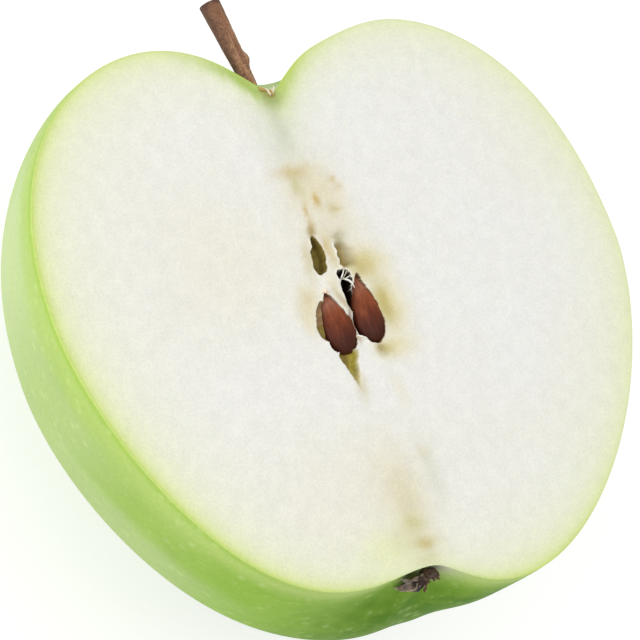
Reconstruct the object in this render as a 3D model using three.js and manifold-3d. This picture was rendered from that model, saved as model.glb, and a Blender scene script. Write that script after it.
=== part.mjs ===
// Half of a green apple, cut lengthwise just in front of its core, lying on its skin with the
// cut face up. The flesh with its skin is one solid; the stem, the dry calyx and the two pips
// that the cut laid bare are separate pieces.
//
// Millimetres. The fruit is built with the cut face on the plane z = 0 and its flesh below it,
// +Y toward the stem and +X to the right of the core. The last lines move it so that +Z stays up
// and the origin is the bottom centre of its box. Angles are in degrees: "tilt" is measured at
// the core's middle from the stem's direction, and "turn" goes round the core from +X (0) past
// the deepest skin (90) to -X (180).

import * as THREE from 'three';
import { mergeVertices } from 'three/addons/utils/BufferGeometryUtils.js';
import Module from 'manifold-3d';

const wasm = await Module();
wasm.setup();

const CORE_DEPTH = 1.95; // how far the core line lies behind the cut face
const DEPTH_RATIO = 1.085; // the fruit is a little deeper than it is wide
const REST_FLAT_RISE = 0.35; // height of skin pressed flat under the fruit
const GAP = 0.3; // clearance between neighbouring pieces
const CUTTER_SIZE = 120; // of a block that cuts away all on one side of a plane

// The two sides of the fruit as the cut shows them. Heights are the reach of the shoulder ovals
// above and below the core's middle, before the hollows at the stem and the calyx dip into them.
const RIGHT_SIDE = {
  halfWidth: 42.6,
  stem: { height: 41.4, roundness: 2.41, dipWidth: 18.8, dipPower: 0.9 },
  calyx: { height: 48.5, roundness: 1.61, dipWidth: 11.7, dipPower: 0.98 },
  shoulderLift: -0.017,
};
const LEFT_SIDE = {
  halfWidth: 37.4,
  stem: { height: 37.6, roundness: 2.17, dipWidth: 14.3, dipPower: 1 },
  calyx: { height: 44.6, roundness: 1.8, dipWidth: 19.2, dipPower: 1.65 },
  shoulderLift: 0.05,
};
const STEM_FLOOR = { reach: 22.8, rounding: 3 }; // bottom of the stem hollow
const CALYX_FLOOR = { reach: 35.9, rounding: 4 }; // bottom of the calyx basin
// The fruit is fullest underneath toward the calyx, its crown falls away behind the right
// shoulder, low lobes stand round the calyx, and low ribs run round the crown.
const SWELLS = [
  { rise: 0.049, tilt: 140, tiltSpread: 43, turn: 110, turnSpread: 33 }, // the belly
  { rise: -0.103, tilt: 17.3, tiltSpread: 9.8, turn: 24, turnSpread: 30 }, // behind the shoulder
  { rise: 0.0086, tilt: 162, tiltSpread: 13, turn: 38, turnSpread: 17 }, // the lobes
  { rise: 0.0052, tilt: 161, tiltSpread: 9, turn: 72, turnSpread: 8 },
  { rise: 0.0066, tilt: 159.5, tiltSpread: 12, turn: 99, turnSpread: 16 },
];
const RIBS = { count: 5, rise: -0.019, tilt: 28, tiltSpread: 22, turn: -16 };
const SKIN_TURNS = 84;
const SKIN_RINGS = 58;
const RING_GATHER = 0.55; // how far the rings crowd toward the stem and the calyx

// Seed chambers opened by the cut: a pointed hollow from one [x, y] end to the other.
const CHAMBERS = [
  { from: [-1.25, 5.6], to: [-1.75, 0.6], halfWidth: 0.92, depth: 3.2, taper: [0.6, 0.45] },
  { from: [-2.2, -0.5], to: [-1.65, -15.6], halfWidth: 2.5, depth: 3.4, taper: [0.9, 2.0] },
  { from: [1.9, 5.8], to: [3.6, -11.6], halfWidth: 2.6, depth: 3.8, taper: [1.0, 1.0] },
];
const CHAMBER_RINGS = 16;
const CHAMBER_TURNS = 16;

const PIP_TAPER = [0.75, 0.38]; // pointed at the tip, blunt at the broad end
const PIP_THICKNESS = 2.3;
const PIP_DEPTH = 0.95; // of a pip's middle below the cut face
const PIPS = {
  pip_left: { tip: [-1.6, -0.95], end: [-1.1, -9.2], width: 4.35 },
  pip_right: { tip: [3.4, 0.7], end: [3.1, -8.5], width: 4.2 },
};
const PIP_RINGS = 14;
const PIP_TURNS = 18;

const STEM = {
  foot: [-0.3, 22.9, -3.0],
  end: [-2.45, 38.55, -3.0],
  footRadius: 0.74,
  endRadius: 1.33,
  bud: { along: 0.49, rise: 0.42, length: 0.055, turn: 25, spread: 38 },
  bow: 0.15, // sideways bend at mid length
};
const STEM_RINGS = 24;
const STEM_TURNS = 14;

const CALYX_TUBE = { radius: 1.15, footRadius: 0.9, height: 0.8, turns: 12 };
const SEPAL = {
  width: 2.0,
  thickness: 0.45,
  taper: [0.35, 0.8],
  rise: 0.3, // off the basin's floor where it leaves the tube
  arch: 0.3,
  wave: 0.15,
  rings: 9,
  turns: 8,
};
const SEPALS = [
  { turn: 20, length: 1.5, curl: 0.1 },
  { turn: 68, length: 1.8, curl: 0.2 },
  { turn: 108, length: 2.4, curl: 0.3 },
  { turn: 148, length: 3.6, curl: 0.3 },
  { turn: 182, length: 3.1, curl: 0.1 },
];

const degrees = THREE.MathUtils.radToDeg;
const radians = THREE.MathUtils.degToRad;

// A bell from 1 at the middle down to 0, "spread" wide.
function bell(distance, spread) {
  return Math.exp(-((distance / spread) ** 2));
}

// The same for an angle round the core.
function turnBell(turn, middle, spread) {
  const distance = THREE.MathUtils.euclideanModulo(turn - middle + 180, 360) - 180;
  return bell(distance, spread);
}

// 1 on the core line, falling to 0 away from it, with a rounded floor.
function dip(angle, rounding, width, power) {
  return Math.exp((rounding / width) ** power - (Math.hypot(angle, rounding) / width) ** power);
}

// Width of a tapered body at "along" (0 to 1), 1 where it is fullest.
function taperAt(along, [rise, fall]) {
  const fullest = rise / (rise + fall);
  const peak = fullest ** rise * (1 - fullest) ** fall;
  return (along ** rise * (1 - along) ** fall) / peak;
}

// Distance from the core's middle to the skin on one side of the fruit.
function sideReach(side, tilt) {
  const across = Math.sin(radians(tilt));
  const along = Math.cos(radians(tilt));
  const { height, roundness } = along >= 0 ? side.stem : side.calyx;
  const widthPart = (across / side.halfWidth) ** roundness;
  const heightPart = (Math.abs(along) / height) ** roundness;
  const oval = (widthPart + heightPart) ** (-1 / roundness);
  const lifted = oval * (1 + side.shoulderLift * across ** 2 * along);
  const { stem, calyx } = side;
  const stemDip =
    (stem.height - STEM_FLOOR.reach) * dip(tilt, STEM_FLOOR.rounding, stem.dipWidth, stem.dipPower);
  const calyxDip =
    (calyx.height - CALYX_FLOOR.reach) *
    dip(180 - tilt, CALYX_FLOOR.rounding, calyx.dipWidth, calyx.dipPower);
  return lifted - stemDip - calyxDip;
}

// Share by which the swellings, and the groove whose rise is below 0, change the reach.
function swellAt(tilt, turn) {
  let total = 0;
  for (const swell of SWELLS) {
    const alongTilt = bell(tilt - swell.tilt, swell.tiltSpread);
    total += swell.rise * alongTilt * turnBell(turn, swell.turn, swell.turnSpread);
  }
  return total;
}

// Distance from the core's middle to the skin all round.
function skinReach(tilt, turn) {
  const rightShare = (1 + Math.cos(radians(turn))) / 2;
  const reach =
    sideReach(RIGHT_SIDE, tilt) * rightShare + sideReach(LEFT_SIDE, tilt) * (1 - rightShare);
  const ribs =
    RIBS.rise *
    bell(tilt - RIBS.tilt, RIBS.tiltSpread) *
    Math.cos(RIBS.count * radians(turn - RIBS.turn));
  return reach * (1 + swellAt(tilt, turn) + ribs);
}

// Point on the skin, or "lift" off it.
function skinPoint(tilt, turn, lift = 0) {
  const reach = skinReach(tilt, turn) + lift;
  const outward = reach * Math.sin(radians(tilt));
  return new THREE.Vector3(
    outward * Math.cos(radians(turn)),
    reach * Math.cos(radians(tilt)),
    -CORE_DEPTH - outward * Math.sin(radians(turn)) * DEPTH_RATIO,
  );
}

// Point over the calyx basin, "across" and "aside" of the core line and "lift" off the skin.
function overBasin(across, aside, lift) {
  const tilt = 180 - degrees(Math.atan2(Math.hypot(across, aside), CALYX_FLOOR.reach));
  return skinPoint(tilt, degrees(Math.atan2(aside, across)), lift);
}

// A closed geometry with shared vertices, each moved to where "place" puts it. The flattened
// triangles at a lathe's or ball's ends are dropped.
function sculpt(geometry, place) {
  const bare = geometry.clone();
  bare.deleteAttribute('normal');
  bare.deleteAttribute('uv');
  const shared = mergeVertices(bare);
  const corners = shared.index.array;
  const kept = [];
  for (let i = 0; i < corners.length; i += 3) {
    const [a, b, c] = corners.subarray(i, i + 3);
    if (a !== b && b !== c && c !== a) {
      kept.push(a, b, c);
    }
  }
  shared.setIndex(kept);
  const position = shared.attributes.position;
  const point = new THREE.Vector3();
  for (let i = 0; i < position.count; i += 1) {
    point.fromBufferAttribute(position, i);
    position.setXYZ(i, ...place(point).toArray());
  }
  return shared;
}

function toSolid(geometry) {
  return new wasm.Manifold(
    new wasm.Mesh({
      numProp: 3,
      vertProperties: new Float32Array(geometry.attributes.position.array),
      triVerts: new Uint32Array(geometry.index.array),
    }),
  );
}

function toGeometry(solid) {
  const { vertProperties, triVerts } = solid.getMesh();
  const geometry = new THREE.BufferGeometry();
  geometry.setAttribute('position', new THREE.BufferAttribute(vertProperties, 3));
  geometry.setIndex(new THREE.BufferAttribute(triVerts, 1));
  return geometry;
}

// A lathe-turned body, 1 long from y = 1 to y = 0, with the given radius along it.
function spindle(radiusAt, rings, turns) {
  const profile = [];
  for (let i = 0; i <= rings; i += 1) {
    const along = (1 - Math.cos((Math.PI * i) / rings)) / 2;
    profile.push(new THREE.Vector2(radiusAt(along), 1 - along));
  }
  profile[0].x = 0;
  profile[rings].x = 0;
  return new THREE.LatheGeometry(profile.reverse(), turns);
}

// A tapered body lying along the cut face from one [x, y] end to the other.
function lying(from, to, taper, halfWidth, halfThickness, middleZ, rings, turns) {
  const start = new THREE.Vector2(...from);
  const run = new THREE.Vector2(...to).sub(start);
  const across = new THREE.Vector2(-run.y, run.x).normalize();
  const body = spindle((along) => taperAt(along, taper), rings, turns);
  return sculpt(body, (p) => {
    const along = 1 - p.y;
    const flat = start.clone().addScaledVector(run, along).addScaledVector(across, p.x * halfWidth);
    return new THREE.Vector3(flat.x, flat.y, middleZ + p.z * halfThickness);
  });
}

function wholeFruit() {
  const ball = new THREE.SphereGeometry(1, SKIN_TURNS, SKIN_RINGS);
  return sculpt(ball, (p) => {
    const even = Math.acos(THREE.MathUtils.clamp(p.y, -1, 1));
    const gathered = even - (RING_GATHER * Math.sin(2 * even)) / 2;
    return skinPoint(degrees(gathered), degrees(Math.atan2(-p.z, p.x)));
  });
}

// A block larger than the fruit, with one face on the height z and the rest above or below it.
function cutter(z, above) {
  const block = new THREE.BoxGeometry(CUTTER_SIZE, CUTTER_SIZE, CUTTER_SIZE);
  const middle = z + (above ? CUTTER_SIZE : -CUTTER_SIZE) / 2;
  return sculpt(block, (p) => p.clone().setZ(p.z + middle));
}

function chamber({ from, to, halfWidth, depth, taper }) {
  return lying(from, to, taper, halfWidth, depth, 0, CHAMBER_RINGS, CHAMBER_TURNS);
}

// A pip, or with some room round it the bed that it lies in.
function pip({ tip, end, width }, room = 0) {
  const grow = new THREE.Vector2(...end).sub(new THREE.Vector2(...tip)).setLength(room);
  return lying(
    [tip[0] - grow.x, tip[1] - grow.y],
    [end[0] + grow.x, end[1] + grow.y],
    PIP_TAPER,
    width / 2 + room,
    PIP_THICKNESS / 2 + room,
    -PIP_DEPTH,
    PIP_RINGS,
    PIP_TURNS,
  );
}

function fleshAndSkin() {
  const fruit = wholeFruit();
  fruit.computeBoundingBox();
  const restHeight = fruit.boundingBox.min.z + REST_FLAT_RISE;
  let solid = toSolid(fruit).subtract(toSolid(cutter(0, true)));
  solid = solid.subtract(toSolid(cutter(restHeight, false)));
  for (const size of CHAMBERS) {
    solid = solid.subtract(toSolid(chamber(size)));
  }
  for (const size of Object.values(PIPS)) {
    solid = solid.subtract(toSolid(pip(size, GAP)));
  }
  solid = solid.subtract(toSolid(stem(GAP)));
  return toGeometry(solid);
}

// The woody stem, or with some room round it the socket that its foot stands in. It widens
// evenly toward its cut end and has one old bud scar.
function stem(room = 0) {
  const foot = new THREE.Vector3(...STEM.foot);
  const end = new THREE.Vector3(...STEM.end);
  const lengthwise = end.clone().sub(foot).normalize();
  foot.addScaledVector(lengthwise, -room);
  const run = end.sub(foot);
  const sideways = new THREE.Vector3(1, 0, 0);
  sideways.addScaledVector(lengthwise, -sideways.dot(lengthwise)).normalize();
  const facing = new THREE.Vector3().crossVectors(sideways, lengthwise);
  const rod = new THREE.CylinderGeometry(1, 1, 1, STEM_TURNS, STEM_RINGS);
  return sculpt(rod, (p) => {
    const along = p.y + 0.5;
    const turn = degrees(Math.atan2(p.z, p.x));
    const radius = THREE.MathUtils.lerp(STEM.footRadius, STEM.endRadius, along);
    const bud =
      STEM.bud.rise *
      bell(along - STEM.bud.along, STEM.bud.length) *
      turnBell(turn, STEM.bud.turn, STEM.bud.spread);
    const swell = radius + bud + room;
    const bow = STEM.bow * Math.sin(Math.PI * along);
    return foot
      .clone()
      .addScaledVector(run, along)
      .addScaledVector(sideways, p.x * swell + bow)
      .addScaledVector(facing, p.z * swell);
  });
}

// One dry sepal: a thin pointed tongue that leaves the calyx tube and curls over.
function sepal({ turn, length, curl }) {
  const blade = spindle((along) => taperAt(along, SEPAL.taper), SEPAL.rings, SEPAL.turns);
  return sculpt(blade, (p) => {
    const along = 1 - p.y;
    const out = CALYX_TUBE.radius / 2 + length * along;
    const aside = (-p.x * SEPAL.width) / 2;
    const wave = SEPAL.wave * Math.sin(2 * Math.PI * along) * p.x;
    const arch = SEPAL.arch * Math.sin(Math.PI * along) - curl * along ** 2;
    const lift = GAP + SEPAL.rise + arch + wave + (p.z * SEPAL.thickness) / 2;
    const cos = Math.cos(radians(turn));
    const sin = Math.sin(radians(turn));
    return overBasin(out * cos - aside * sin, out * sin + aside * cos, lift);
  });
}

// The dry calyx: a short tube on the floor of the basin, with the sepals round it.
function calyx() {
  const { radius, footRadius, height, turns } = CALYX_TUBE;
  const tube = new THREE.CylinderGeometry(radius, footRadius, height, turns);
  let solid = toSolid(sculpt(tube, (p) => overBasin(p.x, p.z, GAP + height / 2 + p.y)));
  for (const shape of SEPALS) {
    solid = solid.add(toSolid(sepal(shape)));
  }
  return toGeometry(solid);
}

function piece(name, geometry, color, roughness) {
  const mesh = new THREE.Mesh(
    geometry,
    new THREE.MeshStandardMaterial({ color, roughness, metalness: 0 }),
  );
  mesh.name = name;
  return mesh;
}

const apple = new THREE.Group();
apple.add(piece('apple_half', fleshAndSkin(), 0xdfe8b4, 0.55));
apple.add(piece('stem', stem(), 0x7a5238, 0.8));
apple.add(piece('calyx', calyx(), 0x5c4a3a, 0.9));
for (const [name, size] of Object.entries(PIPS)) {
  apple.add(piece(name, pip(size), 0x5d2a1c, 0.35));
}

const box = new THREE.Box3().setFromObject(apple);
apple.position.set(-(box.min.x + box.max.x) / 2, -(box.min.y + box.max.y) / 2, -box.min.z);
apple.updateMatrixWorld(true);

export default apple;
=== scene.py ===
"""Dresses the apple half: peel, flesh with its opened core, pips, stem and dry calyx.

Shapes are worked out in millimetres in the fruit's own frame: the cut face is z = 0 with the flesh
below it, +Y runs toward the stem and +X to the right of the core. to_row() moves them onto the
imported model. Angles are in degrees: "tilt" is measured at the core's middle from the stem's
direction, and "turn" goes round the core from +X (0) past the deepest skin (90) to -X (180).
"""

import math
from collections import namedtuple

import bpy
import numpy as np
from mathutils import Matrix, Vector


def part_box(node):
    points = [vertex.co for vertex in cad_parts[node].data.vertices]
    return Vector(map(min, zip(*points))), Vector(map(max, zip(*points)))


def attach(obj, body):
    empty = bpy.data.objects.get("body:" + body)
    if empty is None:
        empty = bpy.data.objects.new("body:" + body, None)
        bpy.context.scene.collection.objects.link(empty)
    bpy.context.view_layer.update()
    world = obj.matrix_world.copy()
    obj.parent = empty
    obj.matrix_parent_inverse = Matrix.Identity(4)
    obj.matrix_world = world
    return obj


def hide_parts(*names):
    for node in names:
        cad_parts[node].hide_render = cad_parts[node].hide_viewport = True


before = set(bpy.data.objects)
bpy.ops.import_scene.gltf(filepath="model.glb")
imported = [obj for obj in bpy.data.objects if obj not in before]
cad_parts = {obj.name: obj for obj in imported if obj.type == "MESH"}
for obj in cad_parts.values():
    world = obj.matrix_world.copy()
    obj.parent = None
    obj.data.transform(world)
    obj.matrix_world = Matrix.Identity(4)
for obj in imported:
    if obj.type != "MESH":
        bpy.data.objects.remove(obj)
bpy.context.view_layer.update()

PER_METRE = 1000  # millimetres

# ---------------- the fruit's shape

End = namedtuple("End", "height roundness dip_width dip_power")
Side = namedtuple("Side", "half_width stem calyx shoulder_lift")
Floor = namedtuple("Floor", "reach rounding")
Swell = namedtuple("Swell", "rise tilt tilt_spread turn turn_spread")

CORE_DEPTH = 1.95
DEPTH_RATIO = 1.085
RIGHT = Side(42.6, End(41.4, 2.41, 18.8, 0.9), End(48.5, 1.61, 11.7, 0.98), -0.017)
LEFT = Side(37.4, End(37.6, 2.17, 14.3, 1.0), End(44.6, 1.8, 19.2, 1.65), 0.05)
STEM_FLOOR = Floor(22.8, 3)
CALYX_FLOOR = Floor(35.9, 4)
SWELLS = [
    Swell(0.049, 140, 43, 110, 33),  # the belly
    Swell(-0.103, 17.3, 9.8, 24, 30),  # the groove behind the right shoulder
    Swell(0.0086, 162, 13, 38, 17),  # the lobes round the calyx
    Swell(0.0052, 161, 9, 72, 8),
    Swell(0.0066, 159.5, 12, 99, 16),
]
RIBS = Swell(-0.019, 28, 22, -16, 0)
RIB_COUNT = 5

SPOKES = 600  # round the cut face and the skin
PEEL_THICKNESS = 0.16
PEEL_ROWS = 110
RIM_ROWS_SPREAD = 1.15  # how far the peel's rows crowd toward the cut edge
HIDDEN_STEP = 3  # only every third row is kept where nothing shows
CORE_RADIUS = 17  # the finely divided middle of the cut face
CORE_RINGS = 142
OUTER_RINGS = 46
OUTER_GATHER = 1.5  # how far the outer rings crowd toward the peel


def cos_sin(degrees):
    """Cosine and sine of an angle in degrees."""
    return np.cos(np.radians(degrees)), np.sin(np.radians(degrees))


def stacked(*parts):
    """Arrays or single numbers side by side along a new last axis."""
    return np.stack(np.broadcast_arrays(*parts), axis=-1)


def bell(distance, spread):
    """1 at the middle, falling to 0, "spread" wide."""
    return np.exp(-((distance / spread) ** 2))


def wrapped(turn):
    """The same angle from -180 to 180."""
    return (turn + 180) % 360 - 180


def smooth(value, low, high):
    """0 below low and 1 above high, with a smooth step between; low may be the larger."""
    t = np.clip((value - low) / (high - low), 0, 1)
    return t * t * (3 - 2 * t)


def dip(angle, rounding, width, power):
    """1 on the core line, falling to 0 away from it, with a rounded floor."""
    return np.exp((rounding / width) ** power - (np.hypot(angle, rounding) / width) ** power)


def taper_at(along, rise, fall):
    """Width of a tapered body at "along" (0 to 1), 1 where it is fullest."""
    fullest = rise / (rise + fall)
    peak = fullest**rise * (1 - fullest) ** fall
    return along**rise * (1 - along) ** fall / peak


def side_reach(side, tilt):
    """Distance from the core's middle to the skin on one side of the fruit."""
    along, across = cos_sin(tilt)
    upper = along >= 0
    height = np.where(upper, side.stem.height, side.calyx.height)
    roundness = np.where(upper, side.stem.roundness, side.calyx.roundness)
    width_part = (across / side.half_width) ** roundness
    height_part = (np.abs(along) / height) ** roundness
    oval = (width_part + height_part) ** (-1 / roundness)
    lifted = oval * (1 + side.shoulder_lift * across**2 * along)
    for end, floor, angle in ((side.stem, STEM_FLOOR, tilt), (side.calyx, CALYX_FLOOR, 180 - tilt)):
        shape = dip(angle, floor.rounding, end.dip_width, end.dip_power)
        lifted = lifted - (end.height - floor.reach) * shape
    return lifted


def swell_at(tilt, turn):
    """Share by which the swellings, and the groove whose rise is below 0, change the reach."""
    total = 0
    for swell in SWELLS:
        along_tilt = bell(tilt - swell.tilt, swell.tilt_spread)
        total = total + swell.rise * along_tilt * bell(wrapped(turn - swell.turn), swell.turn_spread)
    return total


def skin_reach(tilt, turn):
    """Distance from the core's middle to the skin all round."""
    right_share = (1 + np.cos(np.radians(turn))) / 2
    reach = side_reach(RIGHT, tilt) * right_share + side_reach(LEFT, tilt) * (1 - right_share)
    waves = np.cos(RIB_COUNT * np.radians(turn - RIBS.turn))
    ribs = RIBS.rise * bell(tilt - RIBS.tilt, RIBS.tilt_spread) * waves
    return reach * (1 + swell_at(tilt, turn) + ribs)


def skin_point(tilt, turn, lift=0):
    """Point on the skin, or "lift" off it."""
    reach = skin_reach(tilt, turn) + lift
    along, across = cos_sin(tilt)
    right, down = cos_sin(turn)
    z = -CORE_DEPTH - reach * across * down * DEPTH_RATIO
    return stacked(reach * across * right, reach * along, z)


def over_basin(across, aside, lift):
    """Point over the calyx basin, "across" and "aside" of the core line and "lift" off the skin."""
    tilt = 180 - np.degrees(np.arctan2(np.hypot(across, aside), CALYX_FLOOR.reach))
    return skin_point(tilt, np.degrees(np.arctan2(aside, across)), lift)


def polar_angles(bearing, fall):
    """Tilt and turn of the ray at a bearing round the cut face, "fall" degrees below level."""
    level, down = cos_sin(fall)
    right, ahead = cos_sin(bearing)
    tilt = np.degrees(np.arccos(np.clip(level * ahead, -1, 1)))
    return tilt, np.degrees(np.arctan2(down, level * right))


def rim_fall(bearing):
    """How far above level (so below 0) the ray to the cut edge points, at each bearing."""
    fall = np.zeros_like(bearing)
    for _ in range(40):
        reach = skin_reach(*polar_angles(bearing, fall))
        fall = (fall - np.degrees(np.arcsin(CORE_DEPTH / DEPTH_RATIO / reach))) / 2
    return fall


# ---------------- placing it on the frame

bearings = np.linspace(0, 360, SPOKES, endpoint=False)
rim = skin_point(*polar_angles(bearings, rim_fall(bearings)))
half_box = [np.array(corner) * PER_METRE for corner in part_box("apple_half")]


def own_middle(axis):
    """Middle of the fruit's own extent along X (0) or Y (1)."""
    falls = np.linspace(0, 60, 61)[:, None]
    skin = skin_point(*polar_angles(bearings[None, :], falls))
    both = np.concatenate([rim[:, axis], skin[..., axis].ravel()])
    return (both.min() + both.max()) / 2


row_shift = np.array([
    (half_box[0][0] + half_box[1][0]) / 2 - own_middle(0),
    (half_box[0][1] + half_box[1][1]) / 2 - own_middle(1),
    half_box[1][2],
])
rest_height = -row_shift[2]  # of the surface that the half lies on


def to_row(points):
    """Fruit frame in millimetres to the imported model's frame in metres."""
    return (points + row_shift) / PER_METRE


# ---------------- noise and colour

NOISE_TABLE = 32
OCTAVES = 3


def noise(points, size, seed):
    """Smooth noise from -1 to 1 over points in 3-D, with features "size" across (one or three)."""
    table = np.random.default_rng(seed).uniform(-1, 1, (NOISE_TABLE,) * 3)
    scaled = points / np.asarray(size, float)
    cell = np.floor(scaled).astype(int)
    part = scaled - cell
    part = part * part * (3 - 2 * part)
    total = np.zeros(points.shape[:-1])
    for corner in np.ndindex(2, 2, 2):
        weight = np.prod(np.where(corner, part, 1 - part), axis=-1)
        spot = (cell + corner) % NOISE_TABLE
        total += weight * table[spot[..., 0], spot[..., 1], spot[..., 2]]
    return total


def rough(points, size, seed):
    """Noise with finer noise on it, each octave half as large and half as strong."""
    size = np.asarray(size, float)
    return sum(noise(points, size / 2**i, seed + i) / 2**i for i in range(OCTAVES))


def colour(red, green, blue):
    """An sRGB colour, 0 to 255, as linear light."""
    value = np.array([red, green, blue]) / 255
    return np.where(value <= 0.04045, value / 12.92, ((value + 0.055) / 1.055) ** 2.4)


def blend(base, over, amount):
    """The colour "over" laid on "base" by an amount from 0 to 1 at each point."""
    amount = np.clip(amount, 0, 1)[..., None]
    return base * (1 - amount) + over * amount


def layered(paint, *layers):
    """Colours laid on "paint" in turn, each with its amount at each point."""
    for tone, amount in layers:
        paint = blend(paint, tone, amount)
    return paint


# ---------------- meshes

Body = namedtuple("Body", "points quads triangles paint")


def with_ends(rings):
    """The rings as rows, then the middle of the first ring and of the last."""
    return np.vstack([rings.reshape(-1, 3), rings[0].mean(0), rings[-1].mean(0)])


def loft(rings, paint):
    """A closed body through rings of points, with a fan at each end and a colour at each point."""
    count, turns = rings.shape[:2]
    index = np.arange(count * turns).reshape(count, turns)
    onward = np.roll(index, -1, axis=1)
    quads = stacked(index[:-1], onward[:-1], onward[1:], index[1:]).reshape(-1, 4)
    start = stacked(count * turns, onward[0], index[0])
    finish = stacked(count * turns + 1, index[-1], onward[-1])
    return facing_out(Body(with_ends(rings), quads, np.vstack([start, finish]), with_ends(paint)))


def around(count):
    """Angles once round, in radians."""
    return np.linspace(0, 2 * np.pi, count, endpoint=False)[None, :]


def gathered(count):
    """Shares from 0 to 1 along a body, without its ends, gathered toward both."""
    return ((1 - np.cos(np.linspace(0, np.pi, count + 2)[1:-1])) / 2)[:, None]


def facing_out(body):
    """The body with its faces turned outward."""
    corners = np.vstack([body.quads[:, [0, 1, 2]], body.quads[:, [0, 2, 3]], body.triangles])
    a, b, c = (body.points[corners[:, i]] for i in range(3))
    if np.einsum("ij,ij->", a, np.cross(b, c)) >= 0:
        return body
    return body._replace(quads=body.quads[:, ::-1], triangles=body.triangles[:, ::-1])


def join(bodies):
    """Several bodies as one."""
    shifts = np.cumsum([0] + [len(body.points) for body in bodies[:-1]])
    return Body(
        np.vstack([body.points for body in bodies]),
        np.vstack([body.quads + shift for body, shift in zip(bodies, shifts)]),
        np.vstack([body.triangles + shift for body, shift in zip(bodies, shifts)]),
        np.vstack([body.paint for body in bodies]),
    )


def add_object(name, data):
    """An object in the scene."""
    made = bpy.data.objects.new(name, data)
    bpy.context.scene.collection.objects.link(made)
    return made


def piece(name, body, material, nodes, crease=50):
    """A shown piece of the object that stands for CAD nodes."""
    mesh = bpy.data.meshes.new(name)
    faces = body.quads.tolist() + body.triangles.tolist()
    mesh.from_pydata(to_row(body.points).tolist(), [], faces)
    rgba = np.hstack([body.paint, np.ones((len(body.paint), 1))])
    mesh.attributes.new("paint", "FLOAT_COLOR", "POINT").data.foreach_set("color", rgba.ravel())
    mesh.polygons.foreach_set("use_smooth", np.ones(len(faces), bool))
    mesh.set_sharp_from_angle(angle=math.radians(crease))
    mesh.materials.append(material)
    made = add_object(name, mesh)
    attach(made, "root")
    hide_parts(*nodes)


# ---------------- node materials

class Finish:
    """A procedural material round one Principled shader. Texture sizes are in millimetres."""

    def __init__(self, name, **settings):
        self.material = bpy.data.materials.new(name)
        self.material.use_nodes = True
        self.tree = self.material.node_tree
        self.shader = self.tree.nodes["Principled BSDF"]
        self.place = self.node("TexCoord").outputs["Object"]
        for socket, value in settings.items():
            self.set(socket.replace("_", " "), value)

    def set(self, socket, value):
        """Puts a value or a node's output into one of the shader's sockets."""
        self.put(self.shader.inputs[socket], value)

    def put(self, socket, value):
        if isinstance(value, bpy.types.NodeSocket):
            self.tree.links.new(value, socket)
        elif np.size(value) == 3 and len(socket.default_value) == 4:
            socket.default_value = (*value, 1)
        else:
            socket.default_value = value

    def node(self, kind, inputs=None, **settings):
        made = self.tree.nodes.new("ShaderNode" + kind)
        for name, value in settings.items():
            setattr(made, name, value)
        for name, value in (inputs or {}).items():
            self.put(made.inputs[name], value)
        return made

    def paint(self):
        """The colours on the mesh's points."""
        return self.node("Attribute", attribute_name="paint").outputs["Color"]

    def product(self, first, second):
        return self.node("Math", {0: first, 1: second}, operation="MULTIPLY").outputs[0]

    def grain(self, size, detail=3.0, stretch=(1, 1, 1)):
        """Noise from 0 to 1 with features "size" millimetres across."""
        scaled = self.node("Mapping", {"Vector": self.place, "Scale": stretch}).outputs[0]
        inputs = {"Vector": scaled, "Scale": PER_METRE / size, "Detail": detail, "Roughness": 0.55}
        return self.node("TexNoise", inputs).outputs[0]

    def spread(self, value, low, high, to_low, to_high):
        """A value from low to high as one from to_low to to_high."""
        inputs = {0: value, 1: low, 2: high, 3: to_low, 4: to_high}
        return self.node("MapRange", inputs, interpolation_type="SMOOTHSTEP").outputs[0]

    def mix(self, amount, first, second, way="MIX"):
        return self.node("MixRGB", {0: amount, 1: first, 2: second}, blend_type=way).outputs[0]

    def show_paint(self, tone):
        """Shows the paint, made lighter or darker by "tone"."""
        self.set("Base Color", self.mix(1.0, self.paint(), tone, "MULTIPLY"))

    def relief(self, *layers):
        """Bump from (height output, depth in millimetres) layers."""
        normal = None
        for height, depth in layers:
            inputs = {"Height": height, "Distance": depth / PER_METRE}
            if normal is not None:
                inputs["Normal"] = normal
            normal = self.node("Bump", inputs).outputs[0]
        self.set("Normal", normal)


# ---------------- peel

def skin_rows():
    """Rows of skin points from the cut edge down to the lowest point."""
    top = rim_fall(bearings)
    share = (np.arange(PEEL_ROWS) / PEEL_ROWS)[:, None] ** RIM_ROWS_SPREAD
    falls = top + (90 - top) * share
    rows = skin_point(*polar_angles(bearings[None, :], falls))
    rows[..., 2] = np.maximum(rows[..., 2], rest_height)
    rows[0, :, 2] = 0
    return rows


def outward_normals(rows):
    """Unit normals of a grid of rows that closes on itself."""
    onward = np.roll(rows, -1, axis=1) - np.roll(rows, 1, axis=1)
    down = np.gradient(rows, axis=0)
    normal = np.cross(onward, down)
    normal /= np.linalg.norm(normal, axis=-1, keepdims=True)
    middle = np.array([0, 0, -CORE_DEPTH])
    return normal * np.sign(np.sum(normal * (rows - middle), axis=-1, keepdims=True))


def under_peel(rows):
    """The peel's inner side: the same rows, one peel's thickness in."""
    normals = outward_normals(rows)
    normals[0, :, 2] = 0
    normals[0] /= np.linalg.norm(normals[0], axis=-1, keepdims=True)
    return rows - PEEL_THICKNESS * normals


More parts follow.
